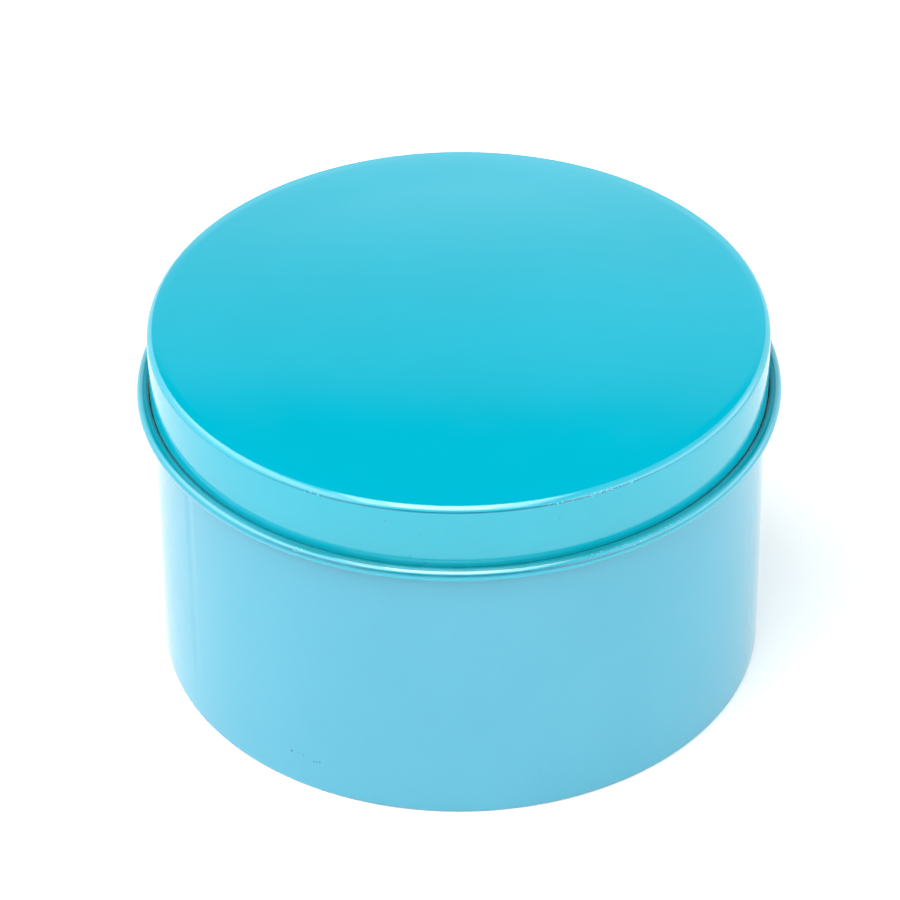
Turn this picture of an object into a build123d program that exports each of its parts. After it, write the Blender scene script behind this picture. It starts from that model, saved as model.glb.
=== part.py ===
"""A round tinplate cookie tin with a slip-on lid.

Three pieces, as such a tin is really made:
  body_wall   a strip rolled into a tube and joined by a lapped side seam, its top edge curled
              inwards and its bottom edge turned under and up
  bottom_end  a pressed disc, recessed, whose rim hooks over the wall's turned-up edge
  lid         one drawn cap: flat top, rounded corner, straight skirt, edge rolled outwards

Millimetres, +Z up. The origin is the middle of the face that the tin stands on. -Y is the front.
"""

from build123d import *
from math import degrees, sqrt
import os

# Overall sizes, with the lid on
body_diameter = 180.0
overall_height = 111.5

# Sheet
sheet = 0.25

# Lid
lid_height = 23.5
lid_corner_radius = 2.4  # outside
lid_curl_diameter = 4.0
lid_curl_turn = 325.0  # degrees that the edge is rolled through
lid_play = 0.6  # between the lid's skirt and the wall, all round
seat_gap = 0.3  # between the wall's curl and the lid's top and corner

# Body wall
top_curl_diameter = 2.6
top_curl_turn = 300.0
base_corner_radius = 1.0  # outside
land_width = 3.2  # flat ring that the tin stands on
upstand_height = 2.5  # of the turned-up edge, above the table
hem_bend_radius = 0.45  # to the middle of the sheet
seam_azimuth = 206.0  # degrees from +X, to the left of the front
seam_lap = 6.0  # overlap of the strip's two ends, along the wall
seam_notch = 1.0  # the lap stops this far from the curl and from the bottom

# Bottom end
panel_step = 0.8  # rise of the middle of the disc
panel_step_run = 1.6
panel_step_width = 14.0  # from the hook to the start of the step
panel_bend_radius = 0.8

half_sheet = sheet / 2

# The wall's middle surface
wall_radius = body_diameter / 2 - half_sheet

# The lid's middle surface
skirt_radius = body_diameter / 2 + lid_play + half_sheet
lid_curl_radius = lid_curl_diameter / 2 - half_sheet
lid_curl_height = overall_height - lid_height + lid_curl_diameter / 2
lid_top_height = overall_height - half_sheet
lid_corner_bend = lid_corner_radius - half_sheet

# The wall's top curl keeps the seat gap from the lid's flat top and from its rounded corner
top_curl_radius = top_curl_diameter / 2 - half_sheet
height_under_top = overall_height - sheet - seat_gap - top_curl_diameter / 2
corner_centre_radius = skirt_radius - lid_corner_bend
corner_centre_height = overall_height - lid_corner_radius
corner_room = max(height_under_top - corner_centre_height, 0)
corner_offset = max(wall_radius - top_curl_radius - corner_centre_radius, 0)
height_in_corner = corner_centre_height + sqrt(max(corner_room**2 - corner_offset**2, 0))
top_curl_height = min(height_under_top, height_in_corner)

# The wall's bottom edge
base_bend = base_corner_radius - half_sheet
upstand_radius = wall_radius - base_bend - land_width - hem_bend_radius

# The bottom end lies flat on the upstand's edge, bends down clear of it and stands on the land
hook_radius = upstand_radius + half_sheet + hem_bend_radius
panel_height = upstand_height + half_sheet
step_outer_radius = hook_radius - panel_step_width
step_inner_radius = step_outer_radius - panel_step_run
middle_height = panel_height + panel_step

# The lapped end lies against the wall's inside
lap_inner_radius = wall_radius - half_sheet - sheet
lap_bottom = panel_height + half_sheet + seam_notch
lap_top = top_curl_height - top_curl_diameter / 2 - seam_notch
lap_angle = degrees(seam_lap / wall_radius)

os.makedirs("parts", exist_ok=True)


# Body wall: curl, wall, turned-under land and upstand as one bent strip, turned about Z
with BuildPart() as body_wall:
    with BuildSketch(Plane.XZ):
        with BuildLine():
            wall_line = Line((wall_radius, base_corner_radius), (wall_radius, top_curl_height))
            JernArc(wall_line @ 1, (0, 1), top_curl_radius, top_curl_turn)
            base_bend_arc = JernArc(wall_line @ 0, (0, -1), base_bend, -90)
            land_line = Line(base_bend_arc @ 1, (upstand_radius + hem_bend_radius, half_sheet))
            hem_bend_arc = JernArc(land_line @ 1, (-1, 0), hem_bend_radius, -90)
            Line(hem_bend_arc @ 1, (upstand_radius, upstand_height))
        trace(line_width=sheet)
    revolve(axis=Axis.Z)

    # The strip's inner end, lapped against the inside of the outer end
    with BuildSketch(Plane.XZ.rotated((0, 0, seam_azimuth))):
        with Locations((lap_inner_radius, lap_bottom)):
            Rectangle(wall_radius - lap_inner_radius, lap_top - lap_bottom, align=Align.MIN)
    revolve(axis=Axis.Z, revolution_arc=lap_angle)
body_wall.part.label = "body_wall"
export_step(body_wall.part, "parts/body_wall.step")


# Bottom end: raised middle, step, flat panel and down-turned hook
with BuildPart() as bottom_end:
    with BuildSketch(Plane.XZ):
        with BuildLine():
            FilletPolyline(
                (0, middle_height),
                (step_inner_radius, middle_height),
                (step_outer_radius, panel_height),
                (hook_radius, panel_height),
                (hook_radius, sheet),
                radius=[panel_bend_radius, panel_bend_radius, hem_bend_radius],
            )
        trace(line_width=sheet)
    revolve(axis=Axis.Z)
bottom_end.part.label = "bottom_end"
export_step(bottom_end.part, "parts/bottom_end.step")


# Lid: flat top, rounded corner, skirt and outward curl
with BuildPart() as lid:
    with BuildSketch(Plane.XZ):
        with BuildLine():
            top_line = Line((0, lid_top_height), (skirt_radius - lid_corner_bend, lid_top_height))
            corner_arc = JernArc(top_line @ 1, (1, 0), lid_corner_bend, -90)
            skirt_line = Line(corner_arc @ 1, (skirt_radius, lid_curl_height))
            JernArc(skirt_line @ 1, (0, -1), lid_curl_radius, lid_curl_turn)
        trace(line_width=sheet)
    revolve(axis=Axis.Z)
lid.part.label = "lid"
export_step(lid.part, "parts/lid.step")
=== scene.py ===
"""The looks of a round tinplate cookie tin with a slip-on lid, built around its fixed frame.

Metres, +Z up. The tin stands on Z = 0 with its axis on Z, and -Y is its front. Every piece is
bent from one thin sheet: a class draws the middle line of its section as a maker would bend it,
turns the line about the axis, and gives the surface the thickness of the sheet.
"""

import logging
import math
from dataclasses import dataclass, field
from enum import Enum

import bmesh
import bpy
from mathutils import Matrix, Vector, noise


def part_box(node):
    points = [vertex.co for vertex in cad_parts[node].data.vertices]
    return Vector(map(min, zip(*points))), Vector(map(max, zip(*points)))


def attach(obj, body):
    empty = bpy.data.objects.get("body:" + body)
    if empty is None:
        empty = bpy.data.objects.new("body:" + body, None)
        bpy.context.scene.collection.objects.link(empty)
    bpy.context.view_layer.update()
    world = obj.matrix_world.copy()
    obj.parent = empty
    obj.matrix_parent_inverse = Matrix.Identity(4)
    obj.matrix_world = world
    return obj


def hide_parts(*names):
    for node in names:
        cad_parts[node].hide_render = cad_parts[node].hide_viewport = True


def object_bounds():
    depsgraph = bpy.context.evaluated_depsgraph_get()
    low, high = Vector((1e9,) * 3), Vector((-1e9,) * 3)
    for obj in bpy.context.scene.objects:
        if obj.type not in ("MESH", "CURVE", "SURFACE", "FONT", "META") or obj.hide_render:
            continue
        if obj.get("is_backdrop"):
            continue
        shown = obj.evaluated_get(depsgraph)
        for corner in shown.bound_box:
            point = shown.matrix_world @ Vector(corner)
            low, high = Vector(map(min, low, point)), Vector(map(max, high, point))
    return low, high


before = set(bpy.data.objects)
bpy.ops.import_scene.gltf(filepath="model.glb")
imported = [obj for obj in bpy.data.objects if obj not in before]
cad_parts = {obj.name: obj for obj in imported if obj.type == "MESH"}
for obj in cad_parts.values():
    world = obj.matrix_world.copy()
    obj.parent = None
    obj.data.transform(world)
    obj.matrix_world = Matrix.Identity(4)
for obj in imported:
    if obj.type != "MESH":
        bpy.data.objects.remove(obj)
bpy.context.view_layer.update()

MM = 0.001
TURN_STEPS = 256  # segments round the axis, fine enough for a clean outline
SAME_PLACE = 1e-7  # metres: points closer than this are one
SHARP_ANGLE = math.radians(40)
FRONT = -90.0  # azimuth of the front, in degrees from +X

log = logging.getLogger("cookie_tin")


class Side(Enum):
    """Which way the outside of a sheet looks, where it reaches furthest that way."""

    UP = (0, 0, 1)
    OUTWARD = (1, 0, 0)


class Skin(Enum):
    """How a stretch of sheet is finished: the first of its slots for face, far side and edge."""

    PAINTED_OUTSIDE = 0
    PAINTED_BOTH_SIDES = 3
    WORN_BARE = 6


# --------------------------------------------------------------------------------------------
# Nodes and colours
# --------------------------------------------------------------------------------------------


def linear(hex_colour: str, alpha: float = 1.0) -> tuple[float, float, float, float]:
    """Turns an sRGB colour into the linear values that shaders take.

    Args:
        hex_colour: six hexadecimal digits after a hash sign.
        alpha: opacity.

    Returns:
        Linear red, green and blue, and the alpha.
    """
    channels = [int(hex_colour[i : i + 2], 16) / 255 for i in (1, 3, 5)]
    red, green, blue = [
        c / 12.92 if c <= 0.04045 else ((c + 0.055) / 1.055) ** 2.4 for c in channels
    ]
    return red, green, blue, alpha


def add_node(
    tree: bpy.types.NodeTree,
    kind: str,
    settings: dict[str, object] | None = None,
    inputs: dict[str | int, object] | None = None,
) -> bpy.types.Node:
    """Adds a node, sets its properties, and fills or links its inputs.

    Args:
        tree: the node tree that it joins.
        kind: the node's type name.
        settings: properties by name.
        inputs: a value or an output socket to link, by the input's name or number.

    Returns:
        The new node.
    """
    node = tree.nodes.new(kind)
    for name, value in (settings or {}).items():
        setattr(node, name, value)
    for name, value in (inputs or {}).items():
        if isinstance(value, bpy.types.NodeSocket):
            tree.links.new(value, node.inputs[name])
        else:
            node.inputs[name].default_value = value
    return node


@dataclass
class Finish:
    """A material under construction: its tree, and the coordinates that every pattern reads."""

    name: str
    material: bpy.types.Material = field(init=False)
    tree: bpy.types.NodeTree = field(init=False)
    place: bpy.types.NodeSocket = field(init=False)  # where a point lies, in metres
    axes: bpy.types.Node = field(init=False)
    height: bpy.types.NodeSocket = field(init=False)
    radius: bpy.types.NodeSocket = field(init=False)  # from the tin's axis

    def __post_init__(self) -> None:
        """Makes the empty material and its coordinate nodes."""
        self.material = bpy.data.materials.new(self.name)
        self.material.use_nodes = True
        self.tree = self.material.node_tree
        self.tree.nodes.clear()
        self.place = self.add("ShaderNodeTexCoord").outputs["Object"]
        self.axes = self.add("ShaderNodeSeparateXYZ", inputs={0: self.place})
        self.height = self.axes.outputs["Z"]
        flat = self.add("ShaderNodeVectorMath", {"operation": "MULTIPLY"}, {0: self.place, 1: (1, 1, 0)})
        length = self.add("ShaderNodeVectorMath", {"operation": "LENGTH"}, {0: flat.outputs[0]})
        self.radius = length.outputs["Value"]

    def add(
        self,
        kind: str,
        settings: dict[str, object] | None = None,
        inputs: dict[str | int, object] | None = None,
    ) -> bpy.types.Node:
        """Adds a node to this finish's tree."""
        return add_node(self.tree, kind, settings, inputs)

    def maths(self, operation: str, *values: object, clamp: bool = False) -> bpy.types.NodeSocket:
        """Works out one number from others.

        Args:
            operation: the name of the operation.
            values: numbers or sockets, in the operation's order.
            clamp: keeps the result between 0 and 1.

        Returns:
            The socket that holds the result.
        """
        settings = {"operation": operation, "use_clamp": clamp}
        return self.add("ShaderNodeMath", settings, dict(enumerate(values))).outputs[0]

    def band(self, value: object, low: float, high: float, soft: float) -> bpy.types.NodeSocket:
        """Gives 1 while a value lies between two limits, and 0 beyond their soft edges.

        Args:
            value: the socket to test.
            low: lower limit.
            high: upper limit.
            soft: width of each edge.

        Returns:
            The socket that holds the mask.
        """
        above = self.remap(value, low - soft, low, 0.0, 1.0)
        below = self.remap(value, high, high + soft, 1.0, 0.0)
        return self.maths("MULTIPLY", above, below)

    def remap(
        self, value: object, low: float, high: float, start: float, end: float
    ) -> bpy.types.NodeSocket:
        """Carries a range of values smoothly onto another, and holds it beyond the ends.

        Args:
            value: the socket to carry over.
            low: start of its range.
            high: end of its range.
            start: result at the start.
            end: result at the end.

        Returns:
            The socket that holds the result.
        """
        inputs = {
            "Value": value,
            "From Min": low,
            "From Max": high,
            "To Min": start,
            "To Max": end,
        }
        smooth = {"interpolation_type": "SMOOTHSTEP"}
        return self.add("ShaderNodeMapRange", smooth, inputs).outputs[0]

    def grain(
        self,
        size_mm: float,
        detail: float = 2.0,
        roughness: float = 0.5,
        stretch: tuple[float, float, float] = (1.0, 1.0, 1.0),
        shift: float = 0.0,
    ) -> bpy.types.NodeSocket:
        """Makes a random pattern with a real size.

        Args:
            size_mm: width of its largest patches.
            detail: octaves of finer pattern.
            roughness: how much the finer pattern counts.
            stretch: how much longer the patches are along each axis.
            shift: moves the pattern, so that two of one size differ.

        Returns:
            The socket that holds it, about 0 to 1.
        """
        scale = tuple(1 / s for s in stretch)
        moved = self.add(
            "ShaderNodeMapping",
            inputs={"Vector": self.place, "Scale": scale, "Location": (shift, shift, shift)},
        )
        inputs = {
            "Vector": moved.outputs[0],
            "Scale": 1 / (size_mm * MM),
            "Detail": detail,
            "Roughness": roughness,
        }
        return self.add("ShaderNodeTexNoise", inputs=inputs).outputs[0]

    def mix_colour(self, factor: object, first: object, second: object) -> bpy.types.NodeSocket:
        """Mixes two colours by a factor."""
        inputs = {0: factor, 6: first, 7: second}
        return self.add("ShaderNodeMix", {"data_type": "RGBA"}, inputs).outputs[2]

    def mix_value(self, factor: object, first: object, second: object) -> bpy.types.NodeSocket:
        """Mixes two numbers by a factor."""
        inputs = {0: factor, 2: first, 3: second}
        return self.add("ShaderNodeMix", {"data_type": "FLOAT"}, inputs).outputs[0]

    def bump(self, height: object, depth_mm: float, below: object = None) -> bpy.types.NodeSocket:
        """Turns a height pattern into relief of a real depth, over any relief below it.

        Args:
            height: the pattern, 0 to 1.
            depth_mm: how deep it goes.
            below: the relief that it lies on.

        Returns:
            The socket that holds the bent normal.
        """
        inputs = {"Height": height, "Distance": depth_mm * MM}
        if below is not None:
            inputs["Normal"] = below
        return self.add("ShaderNodeBump", inputs=inputs).outputs[0]

    def finish(self, **inputs: object) -> bpy.types.Material:
        """Adds the shader and its output.

        Args:
            inputs: values or sockets for the shader, with underscores for the spaces in names.

        Returns:
            The finished material.
        """
        named = {name.replace("_", " "): value for name, value in inputs.items()}
        shader = self.add("ShaderNodeBsdfPrincipled", inputs=named)
        self.add("ShaderNodeOutputMaterial", inputs={"Surface": shader.outputs[0]})
        return self.material


# --------------------------------------------------------------------------------------------
# Finishes
# --------------------------------------------------------------------------------------------


@dataclass(frozen=True)
class PaintedShadeLine:
    """A ring round the axis painted darker into the enamel's colour: painted shade in a crease, and painted
    dark reflection just under a highlight.
    """

    colour: str
    inner: float  # metres from the axis
    outer: float
    low: float
    high: float
    cover: float
    round_cover: float  # share of the cover that is left away from the front
    front_start: tuple[float, float] = (0.68, 0.92)  # frontness where the full cover comes in
    soft: float = 0.12 * MM  # width of its soft edges


@dataclass(frozen=True)
class Speck:
    """A tiny dark mark: a spot where the film lifted, or a short scratch."""

    azimuth: float  # degrees from the front, towards the right
    radius: float  # metres from the axis
    height: float
    size: float
    core: float = 0.3  # share of its size that has the full colour
    cover: float = 0.8

    def middle(self) -> tuple[float, float, float]:
        """Works out where it is."""
        angle = math.radians(self.azimuth)
        return self.radius * math.sin(angle), -self.radius * math.cos(angle), self.height


@dataclass(frozen=True)
class WornPatch:
    """A stretch of an edge where knocks have taken the enamel off, with painted shade in the pits and painted
    glints on their edges.
    """

    azimuth: float  # degrees from +X
    half_width: float  # degrees
    low: float  # metres
    high: float
    inner: float
    outer: float
    cover: float  # threshold of the chips: lower takes off more
    core: float = 0.6  # share of the half width before it starts to fade
    soft: float = 0.3 * MM  # width of its soft edges above, below, inside and outside


@dataclass(frozen=True)
class BakedEnamel:
    """Stoving enamel, sprayed on tinplate and baked.

    It flows out to a hard gloss with faint orange peel, so it shows sharp reflections on the
    curls and a deep, even colour on the flats.
    """

    name: str
    colour: str
    thin_colour: str
    roughness: float = 0.03
    rubbed_roughness: float = 0.02  # added where hands have dulled it
    chip_roughness: float = 0.3
    ior: float = 1.62
    peel_mm: float = 1.3
    peel_depth_mm: float = 0.0006
    hairline_depth_mm: float = 0.0004
    chip_mm: float = 0.7
    chip_edge: float = 0.04  # how sharply a chip ends, as part of its pattern's range
    chip_depth_mm: float = 0.015
    speck_colour: str = "#00566B"
    # Painted shade in the chips' pits and painted glints on their edges
    pit_shade_colour: str = "#007287"
    painted_glint_colour: str = "#45AFC3"
    # Painted shade lines: dark rings painted into the colour for shade and dark reflections
    painted_shade_lines: tuple[PaintedShadeLine, ...] = ()
    patches: tuple[WornPatch, ...] = ()
    specks: tuple[Speck, ...] = ()

    def build(self) -> bpy.types.Material:
        """Makes the material: colour, gloss, orange peel, handling marks, painted shade lines, and chips
        whose pits carry painted shade and painted glints.

        Returns:
            The finished material.
        """
        f = Finish(self.name)
        # The film is a little thinner in places, which the eye reads as a faint cloudiness
        cloud = f.remap(f.grain(45.0, detail=3.0), 0.35, 0.7, 0.0, 1.0)
        colour = f.mix_colour(cloud, linear(self.colour), linear(self.thin_colour))
        # Painted shade: thin dark lines painted into the colour, as shade in the crease above the rolled edge
        # and as dark reflections just under the highlights, which make the edges read crisply
        for line in self.painted_shade_lines:
            across = f.band(f.radius, line.inner, line.outer, line.soft)
            along = f.band(f.height, line.low, line.high, line.soft)
            ring = f.maths("MULTIPLY", across, along)
            uneven = f.remap(f.grain(6.0, detail=3.0, shift=0.9), 0.3, 0.6, 0.8, 1.0)
            # -Y over the radius is 1 at the front and 0 at the sides
            frontness = f.maths("DIVIDE", f.axes.outputs["Y"], -line.outer)
            away_cover = line.cover * line.round_cover
            share = f.remap(frontness, *line.front_start, away_cover, line.cover)
            shade_amount = f.maths("MULTIPLY", f.maths("MULTIPLY", ring, uneven), share)
            colour = f.mix_colour(shade_amount, colour, linear(line.colour))
        # Specks: pinholes and short scratches, barely seen until the eye rests on them
        for speck in self.specks:
            inputs = {0: f.place, 1: speck.middle()}
            away = f.add("ShaderNodeVectorMath", {"operation": "DISTANCE"}, inputs).outputs["Value"]
            spot = f.remap(away, speck.size * speck.core, speck.size, speck.cover, 0.0)
            colour = f.mix_colour(spot, colour, linear(self.speck_colour))
        # Handling dulls the gloss in soft patches
        rubbed = f.remap(f.grain(18.0, detail=4.0, shift=0.3), 0.45, 0.75, 0.0, 1.0)
        dull = f.maths("ADD", self.roughness, f.maths("MULTIPLY", rubbed, self.rubbed_roughness))
        relief = f.bump(f.grain(self.peel_mm, detail=1.0), self.peel_depth_mm)
        # Hairlines from wiping and stacking
        hair = f.grain(0.5, detail=1.0, stretch=(30.0, 2.0, 2.0), shift=0.7)
        lines = f.remap(hair, 0.70, 0.76, 0.0, 1.0)
        relief = f.bump(f.maths("SUBTRACT", 1.0, lines), self.hairline_depth_mm, relief)
        chips = self.chips(f)
        if chips is None:
            return f.finish(Base_Color=colour, Roughness=dull, IOR=self.ior, Normal=relief)
        # Knocks pit the enamel: painted shade makes the pit dark, and painted glints make its edge pale
        glint_spots = f.remap(f.grain(0.5, shift=0.1), 0.42, 0.58, 0.0, 1.0)
        pit_shade_and_glint = f.mix_colour(glint_spots, linear(self.pit_shade_colour), linear(self.painted_glint_colour))
        relief = f.bump(f.maths("SUBTRACT", 1.0, chips), self.chip_depth_mm, relief)
        return f.finish(
            Base_Color=f.mix_colour(chips, colour, pit_shade_and_glint),
            Roughness=f.mix_value(chips, dull, self.chip_roughness),
            IOR=self.ior,
            Normal=relief,
        )

    def chips(self, f: Finish) -> bpy.types.NodeSocket | None:
        """Makes the mask of the chips.

        Args:
            f: the material under construction.

        Returns:
            The socket that holds the mask, or nothing where the enamel is whole.
        """
        if not self.patches:
            return None
        spots = f.grain(self.chip_mm, detail=3.0, roughness=0.65, shift=0.5)
        azimuth = f.maths("ARCTAN2", f.axes.outputs["Y"], f.axes.outputs["X"])
        total = None
        for patch in self.patches:
            centre = math.radians(patch.azimuth)
            core = math.radians(patch.half_width) * patch.core
            fade = math.radians(patch.half_width) * (1.0 - patch.core)
            mask = f.band(azimuth, centre - core, centre + core, fade)
            mask = f.maths("MULTIPLY", mask, f.band(f.height, patch.low, patch.high, patch.soft))
            mask = f.maths("MULTIPLY", mask, f.band(f.radius, patch.inner, patch.outer, patch.soft))
            worn = f.maths("MULTIPLY", spots, mask)
            hit = f.remap(worn, patch.cover, patch.cover + self.chip_edge, 0.0, 1.0)
            total = hit if total is None else f.maths("MAXIMUM", total, hit)
        return total


@dataclass(frozen=True)
class LacqueredTinplate:
    """Cold-rolled steel, hot-tinned and roller-lacquered.

    The tin is bright and slightly rough along the rolling direction, and the clear lacquer
    over it is faintly golden.
    """

    name: str
    colour: str
    streak_colour: str
    roughness: float = 0.3
    coat: float = 1.0
    coat_roughness: float = 0.12
    rolling_depth_mm: float = 0.0008

    def build(self) -> bpy.types.Material:
        """Makes the material: rolling lines, soft clouding and the lacquer's gloss.

        Returns:
            The finished material.
        """
        f = Finish(self.name)
        rolled = f.grain(0.8, detail=2.0, stretch=(60.0, 1.0, 1.0))
        cloud = f.grain(25.0, detail=3.0, shift=0.2)
        tone = f.maths("ADD", f.maths("MULTIPLY", rolled, 0.5), f.maths("MULTIPLY", cloud, 0.5))
        streaks = f.remap(tone, 0.35, 0.65, 0.0, 1.0)
        colour = f.mix_colour(streaks, linear(self.colour), linear(self.streak_colour))
        rough = f.remap(rolled, 0.3, 0.7, self.roughness - 0.05, self.roughness + 0.08)
        relief = f.bump(rolled, self.rolling_depth_mm)
        return f.finish(
            Base_Color=colour,
            Metallic=1.0,
            Roughness=rough,
            Coat_Weight=self.coat,
            Coat_Roughness=self.coat_roughness,
            Normal=relief,
        )


@dataclass(frozen=True)
class CutSteel:
    """The sheared edge of the sheet: grey steel, a little browned where the air has got at it."""

    name: str
    steel: str = "#A09E84"
    rust: str = "#857A50"

    def build(self) -> bpy.types.Material:
        """Makes the material: grey steel with patches of brown.

        Returns:
            The finished material.
        """
        f = Finish(self.name)
        spots = f.remap(f.grain(4.0, detail=4.0), 0.42, 0.6, 0.0, 1.0)
        colour = f.mix_colour(spots, linear(self.steel), linear(self.rust))
        metal = f.maths("SUBTRACT", 1.0, f.maths("MULTIPLY", spots, 0.8))
        return f.finish(
            Base_Color=colour,
            Metallic=metal,
            Roughness=f.remap(spots, 0.0, 1.0, 0.35, 0.7),
            Normal=f.bump(f.grain(0.3), 0.01),
        )


@dataclass(frozen=True)
class PaperFloor:
    """Matt background paper."""

    name: str = "matt_paper"
    colour: str = "#EDEDEC"

    def build(self) -> bpy.types.Material:
        """Makes the material: an even matt white with the faintest tooth.

        Returns:
            The finished material.
        """
        f = Finish(self.name)
        tooth = f.grain(2.0)
        return f.finish(
            Base_Color=linear(self.colour),
            Roughness=0.9,
            Specular_IOR_Level=0.2,
            Normal=f.bump(tooth, 0.02),
        )


# --------------------------------------------------------------------------------------------
# Bent sheet
# --------------------------------------------------------------------------------------------


class BentSheet:
    """A sheet's middle surface: a line bent in the XZ plane, then turned about the Z axis."""

    def __init__(self, radius: float, height: float, heading: float) -> None:
        """Starts the line.

        Args:
            radius: distance of its first point from the axis.
            height: height of its first point.
            heading: degrees from outwards (+X) towards up (+Z).
        """
        self.mesh = bmesh.new()
        self.tip = self.mesh.verts.new((radius, 0.0, height))
        self.heading = heading

    def run(self, length: float, steps: int = 1) -> "BentSheet":
        """Goes straight on.

        Args:
            length: how far.
            steps: how many equal parts the stretch has.

        Returns:
            The sheet itself.
        """
        angle = math.radians(self.heading)
        step = Vector((math.cos(angle), 0.0, math.sin(angle))) * (length / steps)
        for _ in range(steps):
            grown = bmesh.ops.extrude_vert_indiv(self.mesh, verts=[self.tip])
            self.tip = grown["verts"][0]
            bmesh.ops.translate(self.mesh, verts=[self.tip], vec=step)
        return self

    def bend(self, radius: float, degrees: float, steps: int) -> "BentSheet":
        """Turns along an arc.

        Args:
            radius: of the arc.
            degrees: how far it turns, positive from outwards towards up.
            steps: how many equal parts the arc has.

        Returns:
            The sheet itself.
        """
        side = math.copysign(1.0, degrees)
        across = math.radians(self.heading + 90.0 * side)
        centre = self.tip.co + Vector((math.cos(across), 0.0, math.sin(across))) * radius
        turned = bmesh.ops.spin(
            self.mesh,
            geom=[self.tip],
            cent=centre,
            axis=(0.0, -side, 0.0),
            angle=math.radians(abs(degrees)),
            steps=steps,
        )
        self.tip = next(g for g in turned["geom_last"] if isinstance(g, bmesh.types.BMVert))
        self.heading += degrees
        return self

    def turn(self, outside: Side, start: float = 0.0, angle: float = 360.0) -> bmesh.types.BMesh:
        """Turns the line about the axis into a surface.

        Args:
            outside: which way the outside looks, where it reaches furthest that way.
            start: azimuth that the turn starts at, in degrees.
            angle: how far it goes round, in degrees.

        Returns:
            The surface, closed where it goes all the way round.
        """
        whole = angle == 360.0
        to_start = Matrix.Rotation(math.radians(start), 3, "Z")
        bmesh.ops.rotate(self.mesh, verts=self.mesh.verts, matrix=to_start)
        bmesh.ops.spin(
            self.mesh,
            geom=self.mesh.verts[:] + self.mesh.edges[:],
            axis=(0.0, 0.0, 1.0),
            angle=math.radians(angle),
            steps=TURN_STEPS if whole else max(2, round(TURN_STEPS * angle / 360.0)),
            use_merge=whole,
        )
        bmesh.ops.remove_doubles(self.mesh, verts=self.mesh.verts, dist=SAME_PLACE)
        bmesh.ops.recalc_face_normals(self.mesh, faces=self.mesh.faces)
        side = Vector(outside.value)

        def reach(face: bmesh.types.BMFace) -> float:
            """Measures how far out, or how high, a face's middle lies."""
            middle = face.calc_center_median()
            return side.dot(Vector((middle.xy.length, 0.0, middle.z)))

        furthest = max(self.mesh.faces, key=reach)
        middle = furthest.calc_center_median()
        across = Matrix.Rotation(math.atan2(middle.y, middle.x), 3, "Z")
        if furthest.normal.dot(across @ side) < 0:
            bmesh.ops.reverse_faces(self.mesh, faces=self.mesh.faces)
        return self.mesh


@dataclass(frozen=True)
class SheetCoats:
    """The materials on the outside, the inside and the cut edge of a piece of sheet."""

    outside: bpy.types.Material
    inside: bpy.types.Material
    cut_edge: bpy.types.Material

    def slots(self) -> list[bpy.types.Material]:
        """Lists the slots.

        Returns:
            The materials, in the order that Skin counts them.
        """
        painted_outside = [self.outside, self.inside, self.cut_edge]
        painted_both_sides = [self.outside, self.outside, self.cut_edge]
        return painted_outside + painted_both_sides + [self.cut_edge] * 3


def settle_order(mesh: bmesh.types.BMesh) -> None:
    """Sorts a mesh's parts by place, because the operators leave their order to chance.

    Args:
        mesh: the mesh, whose shape stays as it is.
    """
    rank = {vert: number for number, vert in enumerate(sorted(mesh.verts, key=lambda v: v.co[:]))}
    mesh.verts.sort(key=rank.get)
    mesh.verts.index_update()
    for parts in (mesh.edges, mesh.faces):
        ordered = sorted(parts, key=lambda part: sorted(vert.index for vert in part.verts))
        rank = {part: number for number, part in enumerate(ordered)}
        parts.sort(key=rank.get)
        parts.index_update()


def sheet_object(
    name: str,
    surfaces: list[bmesh.types.BMesh],
    thickness: float,
    coats: SheetCoats,
) -> bpy.types.Object:
    """Gives middle surfaces the thickness of the sheet and makes one object of them.

    Args:
        name: the object's name.
        surfaces: middle surfaces, each with its faces' slots set.
        thickness: of the sheet.
        coats: the materials of its sides and edge.

    Returns:
        The object, with its modifiers applied and its cut edges sharp.
    """
    mesh = bpy.data.meshes.new(name)
    joined = bmesh.new()
    for surface in surfaces:
        surface.to_mesh(mesh)
        surface.free()
        joined.from_mesh(mesh)
    for face in joined.faces:
        face.smooth = True
    settle_order(joined)
    joined.to_mesh(mesh)
    joined.free()
    blank = bpy.data.objects.new(name, mesh)
    bpy.context.scene.collection.objects.link(blank)
    for material in coats.slots():
        mesh.materials.append(material)
    wall = blank.modifiers.new("sheet", "SOLIDIFY")
    wall.thickness = thickness
    wall.offset = 0.0
    wall.use_even_offset = True
    wall.material_offset = 1
    wall.material_offset_rim = 2
    shown = blank.evaluated_get(bpy.context.evaluated_depsgraph_get())
    solid = bpy.data.meshes.new_from_object(shown)
    blank.modifiers.clear()
    blank.data = solid
    bpy.data.meshes.remove(mesh)
    solid.name = name
    solid.set_sharp_from_angle(angle=SHARP_ANGLE)
    return blank


# --------------------------------------------------------------------------------------------
# Pieces
# --------------------------------------------------------------------------------------------


@dataclass
class Piece:
    """What every piece of the tin has."""

    node: str
    body: str
    slot: str
    sheet: float = 0.25 * MM
    low: Vector = field(init=False)
    high: Vector = field(init=False)

    def __post_init__(self) -> None:
        """Reads the piece's place from the frame."""
        self.low, self.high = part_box(self.node)

    def place(self, shape: bpy.types.Object) -> None:
        """Puts a finished shape on its body, in place of its plain node.

        Args:
            shape: the finished object.
        """
        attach(shape, self.body)
        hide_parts(self.node)
        log.info("%s: %d faces on %s", shape.name, len(shape.data.polygons), self.body)


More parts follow.
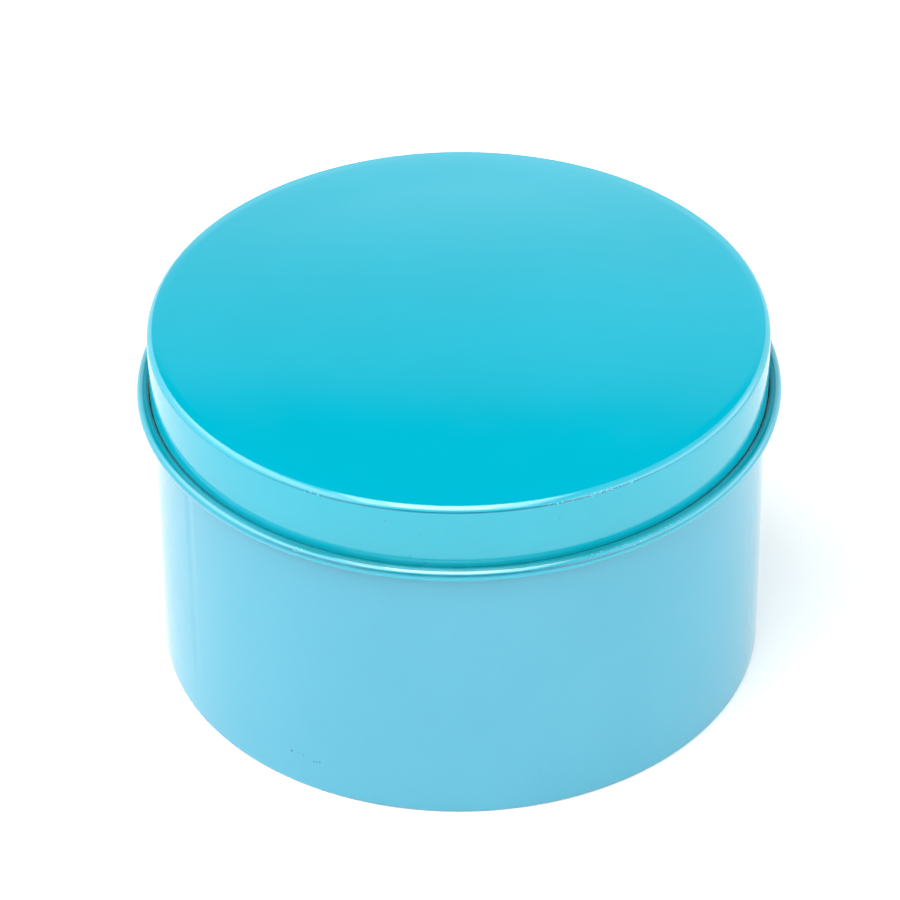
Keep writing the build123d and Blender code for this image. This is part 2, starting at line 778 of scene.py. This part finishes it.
@dataclass
class Lid(Piece):
    """The drawn cap: flat top, rounded corner, straight skirt, edge rolled outwards."""

    node: str = "lid"
    body: str = "lid"
    slot: str = "lid_enamel"
    crease_radius: float = 0.45 * MM  # where the flat top ends, to the middle of the sheet
    crease_turn: float = 30.0
    shoulder_radius: float = 2.9 * MM
    shoulder_turn: float = 30.0
    corner_radius: float = 2.1 * MM
    curl_diameter: float = 4.0 * MM
    curl_turn: float = 322.0
    worn_turn: float = 11.0  # the last of the curl, rubbed bare along its edge
    dish: float = 0.04 * MM  # how far the thin top sags between its ripples
    dish_fade: float = 20.0 * MM  # from the edge of the flat top inwards
    ripple_size: float = 55.0 * MM
    skirt_tolerance: float = 0.02 * MM  # beyond it a face belongs to the rolled edge
    flat_tolerance: float = 0.001 * MM  # lower than this a point is past the flat top

    def build(self, coats: SheetCoats) -> bpy.types.Object:
        """Makes the lid.

        Args:
            coats: the materials of its sides and edge.

        Returns:
            The finished piece.
        """
        half = self.sheet / 2
        top = self.high.z - half
        curl_radius = self.curl_diameter / 2 - half
        skirt_radius = self.high.x - self.curl_diameter + half
        curl_height = self.low.z + self.curl_diameter / 2
        across = self.corner_reach()
        line = BentSheet(0.0, top, 0.0)
        line.run(skirt_radius - across, steps=36)
        line.bend(self.crease_radius, -self.crease_turn, steps=6)
        line.bend(self.shoulder_radius, -self.shoulder_turn, steps=8)
        line.bend(self.corner_radius, self.crease_turn + self.shoulder_turn - 90.0, steps=8)
        line.run(line.tip.co.z - curl_height, steps=6)
        line.bend(curl_radius, self.curl_turn - self.worn_turn, steps=34)
        line.bend(curl_radius, self.worn_turn, steps=2)
        surface = line.turn(Side.UP)
        curl_end = self.curl_turn - 180.0  # degrees from outwards, round the curl's middle
        for face in surface.faces:
            middle = face.calc_center_median()
            outwards = middle.xy.length - skirt_radius
            if outwards < self.skirt_tolerance:
                continue
            face.material_index = Skin.PAINTED_BOTH_SIDES.value
            angle = math.degrees(math.atan2(middle.z - curl_height, outwards - curl_radius))
            if curl_end - self.worn_turn < angle < curl_end:
                face.material_index = Skin.WORN_BARE.value
        self.ripple(surface, top, skirt_radius - across)
        shape = sheet_object("lid_cap", [surface], self.sheet, coats)
        self.place(shape)
        return shape

    def corner_reach(self) -> float:
        """Works out the corner's width.

        Returns:
            How far its three arcs together reach inwards from the skirt.
        """
        reach = turned = 0.0
        for radius, angle in (
            (self.crease_radius, self.crease_turn),
            (self.shoulder_radius, self.shoulder_turn),
            (self.corner_radius, 90.0 - self.crease_turn - self.shoulder_turn),
        ):
            start, turned = turned, turned + angle
            reach += radius * (math.sin(math.radians(turned)) - math.sin(math.radians(start)))
        return reach

    def ripple(self, surface: bmesh.types.BMesh, top: float, flat_radius: float) -> None:
        """Lets the flat top sag in slow ripples, as thin sheet does after it is drawn.

        Args:
            surface: the lid's middle surface.
            top: height of its flat top.
            flat_radius: radius of its flat top.
        """
        for vert in surface.verts:
            radius = vert.co.xy.length
            if vert.co.z < top - self.flat_tolerance or radius > flat_radius:
                continue
            fade = min(1.0, (flat_radius - radius) / self.dish_fade)
            wave = 0.5 + 0.5 * noise.noise(vert.co / self.ripple_size)
            vert.co.z -= self.dish * wave * fade * fade * (3 - 2 * fade)


@dataclass
class BodyWall(Piece):
    """The rolled tube with its lapped side seam, curled top edge and turned-under bottom edge."""

    node: str = "body_wall"
    body: str = "tin"
    slot: str = "body_enamel"
    top_curl_diameter: float = 2.6 * MM
    top_curl_turn: float = 300.0
    base_corner_radius: float = 1.0 * MM
    land_width: float = 3.2 * MM
    upstand_height: float = 2.5 * MM
    hem_bend: float = 0.45 * MM
    seam_azimuth: float = 206.0
    seam_lap: float = 6.0 * MM
    seam_notch: float = 1.0 * MM
    groove_width: float = 3.0 * MM  # the joint shows outside as a soft, shallow valley
    groove_depth: float = 0.16 * MM
    groove_cuts: int = 6  # rows of vertices on each side of the valley's middle
    groove_low_share: float = 0.25  # share of the depth that is left at the foot
    wall_tolerance: float = 0.01 * MM  # nearer than this to its radius, a point is on the wall

    def build(self, coats: SheetCoats) -> bpy.types.Object:
        """Makes the wall and the lapped end of its strip.

        Args:
            coats: the materials of its sides and edge.

        Returns:
            The finished piece.
        """
        half = self.sheet / 2
        wall_radius = self.high.x - half
        base_bend = self.base_corner_radius - half
        curl_radius = self.top_curl_diameter / 2 - half
        upstand_radius = wall_radius - base_bend - self.land_width - self.hem_bend
        curl_height = self.high.z - self.top_curl_diameter / 2
        line = BentSheet(upstand_radius, self.upstand_height, -90.0)
        line.run(self.upstand_height - self.hem_bend - half)
        line.bend(self.hem_bend, 90.0, steps=6)
        line.run(self.land_width)
        line.bend(base_bend, 90.0, steps=10)
        line.run(curl_height - self.base_corner_radius, steps=24)
        line.bend(curl_radius, self.top_curl_turn, steps=28)
        surface = line.turn(Side.OUTWARD)
        self.press_joint(surface, wall_radius, curl_height)
        lap_low = self.upstand_height + self.sheet + self.seam_notch
        lap_high = curl_height - self.top_curl_diameter / 2 - self.seam_notch
        lap = BentSheet(wall_radius - self.sheet, lap_low, 90.0)
        lap.run(lap_high - lap_low, steps=4)
        strip = lap.turn(Side.OUTWARD, self.seam_azimuth, math.degrees(self.seam_lap / wall_radius))
        shape = sheet_object("body_tube", [surface, strip], self.sheet, coats)
        self.place(shape)
        return shape

    def press_joint(self, surface: bmesh.types.BMesh, wall_radius: float, top: float) -> None:
        """Sinks the soft valley that the lapped joint leaves in the outside.

        Args:
            surface: the wall's middle surface.
            wall_radius: its radius.
            top: the height where the curl begins.
        """
        joint = math.radians(self.seam_azimuth) + self.seam_lap / wall_radius
        for step in range(-self.groove_cuts, self.groove_cuts + 1):
            angle = joint + step / self.groove_cuts * self.groove_width / wall_radius
            outwards = Vector((math.cos(angle), math.sin(angle), 0.0))
            across = Vector((-outwards.y, outwards.x, 0.0))
            near = [v for v in surface.verts if v.co.dot(outwards) > 0]
            near += [e for e in surface.edges if e.verts[0].co.dot(outwards) > 0]
            near += [f for f in surface.faces if f.calc_center_median().dot(outwards) > 0]
            bmesh.ops.bisect_plane(
                surface, geom=near, dist=SAME_PLACE, plane_co=(0, 0, 0), plane_no=across
            )
        for vert in surface.verts:
            on_wall = abs(vert.co.xy.length - wall_radius) <= self.wall_tolerance
            if not (on_wall and self.base_corner_radius < vert.co.z < top):
                continue
            turn = math.remainder(math.atan2(vert.co.y, vert.co.x) - joint, math.tau)
            away = abs(turn) * wall_radius / self.groove_width
            if away < 1.0:
                rise = (vert.co.z - self.base_corner_radius) / (top - self.base_corner_radius)
                valley = 0.5 + 0.5 * math.cos(math.pi * away)
                share = self.groove_low_share + (1.0 - self.groove_low_share) * rise
                depth = self.groove_depth * share * valley
                vert.co.xy = vert.co.xy.normalized() * (wall_radius - depth)


@dataclass
class BottomEnd(Piece):
    """The pressed disc: raised middle, step, flat panel, rim hooked down over the upstand."""

    node: str = "bottom_end"
    body: str = "tin"
    slot: str = "bare_tinplate"
    step_rise: float = 0.8 * MM
    step_run: float = 1.6 * MM
    panel_width: float = 14.0 * MM
    panel_bend: float = 0.8 * MM
    hook_bend: float = 0.45 * MM

    def build(self, coats: SheetCoats) -> bpy.types.Object:
        """Makes the bottom end.

        Args:
            coats: the materials of its sides and edge.

        Returns:
            The finished piece.
        """
        half = self.sheet / 2
        middle_height = self.high.z - half
        hook_radius = self.high.x - half
        slope = math.degrees(math.atan2(self.step_rise, self.step_run))
        lost = self.panel_bend * math.tan(math.radians(slope / 2))
        step_radius = hook_radius - self.panel_width - self.step_run
        line = BentSheet(0.0, middle_height, 0.0)
        line.run(step_radius - lost, steps=24)
        line.bend(self.panel_bend, -slope, steps=4)
        line.run(math.hypot(self.step_rise, self.step_run) - 2 * lost)
        line.bend(self.panel_bend, slope, steps=4)
        line.run(self.panel_width - lost - self.hook_bend, steps=4)
        line.bend(self.hook_bend, -90.0, steps=6)
        line.run(middle_height - self.step_rise - self.hook_bend - self.low.z)
        surface = line.turn(Side.UP)
        shape = sheet_object("bottom_disc", [surface], self.sheet, coats)
        self.place(shape)
        return shape


# --------------------------------------------------------------------------------------------
# Studio
# --------------------------------------------------------------------------------------------


@dataclass(frozen=True)
class SoftBox:
    """A rectangular soft light that looks at the tin."""

    name: str
    azimuth: float  # degrees from the front, towards the right
    elevation: float
    half_width: float  # degrees, as seen from the tin
    half_height: float
    radiance: float
    distance: float = 1.2
    gloss_only: bool = False  # a card that shows in the gloss and lights nothing else

    def build(self, target: Vector) -> None:
        """Makes the light and aims it.

        Args:
            target: the point that it looks at.
        """
        light = bpy.data.lights.new(self.name, "AREA")
        light.shape = "RECTANGLE"
        light.size = 2 * self.distance * math.tan(math.radians(self.half_width))
        light.size_y = 2 * self.distance * math.tan(math.radians(self.half_height))
        light.energy = self.radiance * math.pi * light.size * light.size_y
        holder = bpy.data.objects.new(self.name, light)
        across, up = math.radians(self.azimuth), math.radians(self.elevation)
        level = Vector((math.sin(across), -math.cos(across), 0.0))
        towards = level * math.cos(up) + Vector((0.0, 0.0, math.sin(up)))
        holder.location = target + towards * self.distance
        holder.rotation_euler = towards.to_track_quat("Z", "Y").to_euler()
        holder.visible_camera = False
        holder.visible_diffuse = not self.gloss_only
        bpy.context.scene.collection.objects.link(holder)


@dataclass
class Studio:
    """The floor, the soft lights, the room's own light and the camera."""

    floor_half_width: float = 4.0
    wall_radiance: float = 2.0
    wall_glow: tuple[tuple[float, float], ...] = (  # elevation in degrees, share of the radiance
        (0.0, 1.0),
        (33.0, 1.0),
        (33.3, 0.82),
        (33.7, 0.60),
        (34.3, 0.40),
        (35.1, 0.27),
        (35.7, 0.20),
        (36.0, 0.10),
        (36.25, 0.0),
        (60.0, 0.0),
        (78.0, 0.4),
    )
    wall_lean: float = 0.04  # rise of the wall's top edge towards the right
    left_radiance: tuple[float, float] = (2.6, 6.2)  # near the horizon, and higher up
    right_radiance: tuple[float, float] = (4.8, 1.6)
    ceiling_radiance: float = 1.0
    front_radiance: tuple[float, float] = (0.1, 1.0)  # near the horizon, and higher up
    # Where one part of the room gives way to the next, as parts of a sight line of length 1
    side_rise: tuple[float, float] = (0.2, 0.6)
    front_rise: tuple[float, float] = (0.1, 0.35)
    ceiling_start: tuple[float, float] = (0.75, 0.95)
    left_to_right: tuple[float, float] = (-0.1, 0.1)
    front_to_side: tuple[float, float] = (0.3, 0.7)
    side_to_wall: tuple[float, float] = (0.35, 0.65)
    lens: float = 181.2
    camera_elevation: float = 36.73
    camera_roll: float = 0.58
    camera_distance: float = 1.3181
    aim_aside: float = 2.85 * MM  # of the lid's middle from the line of sight
    aim_above: float = 38.05 * MM

    def build(self) -> None:
        """Sets up the whole studio."""
        scene = bpy.context.scene
        scene.view_settings.view_transform = "Standard"
        self.make_floor()
        self.make_room_light()
        low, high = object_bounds()
        middle = (low + high) / 2
        for box in (
            SoftBox("key_box", -4.0, 56.0, 27.0, 25.0, 2.3),
            SoftBox("gleam_card", -6.0, 60.0, 23.0, 22.0, 3.5, distance=1.1, gloss_only=True),
            SoftBox("gleam_heart", -7.0, 60.0, 13.0, 18.0, 5.0, distance=1.0, gloss_only=True),
        ):
            box.build(middle)
        self.make_camera(Vector((0.0, 0.0, high.z)))
        log.info("studio ready")

    def make_floor(self) -> None:
        """Lays the paper that the tin stands on."""
        sheet = bmesh.new()
        bmesh.ops.create_grid(sheet, x_segments=1, y_segments=1, size=self.floor_half_width)
        mesh = bpy.data.meshes.new("floor")
        sheet.to_mesh(mesh)
        sheet.free()
        mesh.materials.append(PaperFloor().build())
        floor = bpy.data.objects.new("floor", mesh)
        bpy.context.scene.collection.objects.link(floor)
        floor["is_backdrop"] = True

    def make_room_light(self) -> None:
        """Lights the room: a wall behind with a soft top edge, brighter sides, a front dark below."""
        world = bpy.data.worlds.new("room")
        bpy.context.scene.world = world
        world.use_nodes = True
        tree = world.node_tree
        tree.nodes.clear()
        sight = add_node(tree, "ShaderNodeTexCoord").outputs["Generated"]
        axes = add_node(tree, "ShaderNodeSeparateXYZ", inputs={0: sight})
        aside, behind, up = axes.outputs

        def ease(
            value: bpy.types.NodeSocket, low: float, high: float, start: float, end: float
        ) -> bpy.types.NodeSocket:
            """Carries a range smoothly onto another.

            Args:
                value: the socket to carry over.
                low: start of its range.
                high: end of its range.
                start: result at the start.
                end: result at the end.

            Returns:
                The socket that holds the result.
            """
            smooth = {"interpolation_type": "SMOOTHSTEP"}
            inputs = {"Value": value, "From Min": low, "From Max": high, "To Min": start, "To Max": end}
            return add_node(tree, "ShaderNodeMapRange", smooth, inputs).outputs[0]

        def mix(
            factor: bpy.types.NodeSocket, first: object, second: object
        ) -> bpy.types.NodeSocket:
            """Mixes two amounts of light."""
            inputs = {0: factor, 2: first, 3: second}
            return add_node(tree, "ShaderNodeMix", {"data_type": "FLOAT"}, inputs).outputs[0]

        # The wall's soft top edge leans a little, so it stands higher on the right
        leaning_up = (-self.wall_lean, 0.0, 1.0)
        lean = add_node(tree, "ShaderNodeVectorMath", {"operation": "DOT_PRODUCT"}, {0: sight, 1: leaning_up})
        wall = add_node(tree, "ShaderNodeValToRGB", inputs={0: lean.outputs["Value"]})
        stops = wall.color_ramp.elements
        for elevation, glow in self.wall_glow:
            place = math.sin(math.radians(elevation))
            stop = stops[0] if elevation == 0.0 else stops.new(place)
            stop.color = (glow, glow, glow, 1.0)
        stops.remove(stops[-1])
        strength = {0: wall.outputs[0], 1: self.wall_radiance}
        wall_light = add_node(tree, "ShaderNodeMath", {"operation": "MULTIPLY"}, strength).outputs[0]
        rise = ease(up, *self.side_rise, 0.0, 1.0)
        left_light, right_light = mix(rise, *self.left_radiance), mix(rise, *self.right_radiance)
        side_light = mix(ease(aside, *self.left_to_right, 0.0, 1.0), left_light, right_light)
        side_light = mix(ease(up, *self.ceiling_start, 0.0, 1.0), side_light, self.ceiling_radiance)
        front_light = ease(up, *self.front_rise, *self.front_radiance)
        across = add_node(tree, "ShaderNodeMath", {"operation": "ABSOLUTE"}, {0: aside}).outputs[0]
        glow = mix(ease(across, *self.front_to_side, 0.0, 1.0), front_light, side_light)
        glow = mix(ease(behind, *self.side_to_wall, 0.0, 1.0), glow, wall_light)
        light = add_node(tree, "ShaderNodeBackground", inputs={"Strength": glow})
        add_node(tree, "ShaderNodeOutputWorld", inputs={"Surface": light.outputs[0]})

    def make_camera(self, lid_middle: Vector) -> None:
        """Makes the camera, which looks down on the tin from the front.

        Args:
            lid_middle: the middle of the lid's top.
        """
        up = math.radians(self.camera_elevation)
        ahead = Vector((0.0, math.cos(up), -math.sin(up)))
        above = Vector((0.0, math.sin(up), math.cos(up)))
        right = Vector((1.0, 0.0, 0.0))
        roll = math.radians(self.camera_roll)
        place = lid_middle - ahead * self.camera_distance
        place -= right * self.aim_aside + above * self.aim_above
        camera = bpy.data.cameras.new("camera")
        camera.lens = self.lens
        camera.sensor_width = 36.0
        holder = bpy.data.objects.new("camera", camera)
        turned = Matrix(
            (
                right * math.cos(roll) - above * math.sin(roll),
                right * math.sin(roll) + above * math.cos(roll),
                -ahead,
            )
        ).transposed()
        holder.matrix_world = Matrix.Translation(place) @ turned.to_4x4()
        bpy.context.scene.collection.objects.link(holder)
        bpy.context.scene.camera = holder


def make_lid_enamel() -> bpy.types.Material:
    """Makes the lid's enamel, with its painted shade lines, chips and specks in their places.

    Returns:
        The finished material.
    """
    low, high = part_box("lid")
    top, rim = high.z, high.x
    skirt = rim - Lid.curl_diameter + Lid.sheet
    curl = low.z + Lid.curl_diameter / 2
    corner = (skirt - 0.85 * MM, skirt + 0.15 * MM)
    rolled_edge = (rim - 1.0 * MM, rim + 0.4 * MM)
    painted_shade_lines = (
        # Painted shade: dark reflection along the lower side of the corner, shade in the crease above the
        # rolled edge, and dark reflection on the rolled edge's upper side
        PaintedShadeLine("#00667D", skirt - 1.35 * MM, skirt + 1.15 * MM, top - 1.75 * MM, top - 1.4 * MM, 1.0, 0.2),
        PaintedShadeLine("#007A84", skirt + 0.25 * MM, rim - 0.9 * MM, curl + 0.5 * MM, curl + 3.0 * MM, 1.0, 0.6),
        PaintedShadeLine("#00667D", rim - 0.6 * MM, rim + 0.4 * MM, curl + 0.35 * MM, curl + 1.05 * MM, 0.9, 0.35),
    )
    # Knocks: real relief, with painted shade in the pits and painted glints on their edges
    patches = (
        WornPatch(FRONT + 24.0, 13.0, top - 2.1 * MM, top - 1.0 * MM, *corner, 0.55),
        WornPatch(FRONT - 26.5, 3.0, top - 2.1 * MM, top - 1.2 * MM, *corner, 0.52),
        WornPatch(FRONT + 32.0, 16.0, curl + 0.7 * MM, curl + 1.8 * MM, *rolled_edge, 0.59),
        WornPatch(FRONT - 29.0, 1.2, curl + 0.7 * MM, curl + 1.6 * MM, *rolled_edge, 0.5),
    )
    specks = (
        Speck(-13.4, skirt, top - 5.75 * MM, 0.35 * MM),
        Speck(-7.2, skirt, top - 9.1 * MM, 0.28 * MM),
        Speck(17.5, skirt, top - 6.7 * MM, 0.35 * MM),
        Speck(-9.0, skirt, top - 17.1 * MM, 0.4 * MM),
        Speck(-6.4, skirt, top - 19.1 * MM, 0.35 * MM),
    )
    return BakedEnamel(
        "lid_turquoise_enamel", "#0091A5", "#0093A8", painted_shade_lines=painted_shade_lines, patches=patches, specks=specks
    ).build()


def make_body_enamel() -> bpy.types.Material:
    """Makes the body's enamel, with a short row of scratches low on the left of the front, and a base colour
    paler and redder than the lid's same enamel as painted reflection.

    Returns:
        The finished material.
    """
    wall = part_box("body_wall")[1].x
    specks = (
        Speck(-33.56, wall, 11.5 * MM, 0.7 * MM),
        Speck(-32.2, wall, 11.6 * MM, 0.3 * MM),
        Speck(-30.9, wall, 11.5 * MM, 0.35 * MM),
        Speck(-28.8, wall, 10.5 * MM, 0.45 * MM),
        Speck(-28.2, wall, 10.6 * MM, 0.45 * MM),
        Speck(-27.5, wall, 11.0 * MM, 0.5 * MM),
    )
    # Painted reflection: the lid's turquoise enamel given a paler, redder base colour for the bright floor
    # reflected in the wall
    return BakedEnamel("body_turquoise_enamel_painted_sheen", "#388DA4", "#3B8FA6", specks=specks).build()


def main() -> None:
    """Builds the tin and its studio, in order."""
    logging.basicConfig(level=logging.INFO, format="%(name)s: %(message)s")
    lid_enamel = make_lid_enamel()
    body_enamel = make_body_enamel()
    tinplate = LacqueredTinplate("lacquered_tinplate", "#D6D3C9", "#BCB9AF").build()
    cut_edge = CutSteel("cut_steel_edge").build()
    Lid().build(SheetCoats(lid_enamel, tinplate, cut_edge))
    BodyWall().build(SheetCoats(body_enamel, tinplate, cut_edge))
    BottomEnd().build(SheetCoats(tinplate, tinplate, cut_edge))
    Studio().build()


if __name__ == "__main__":
    main()
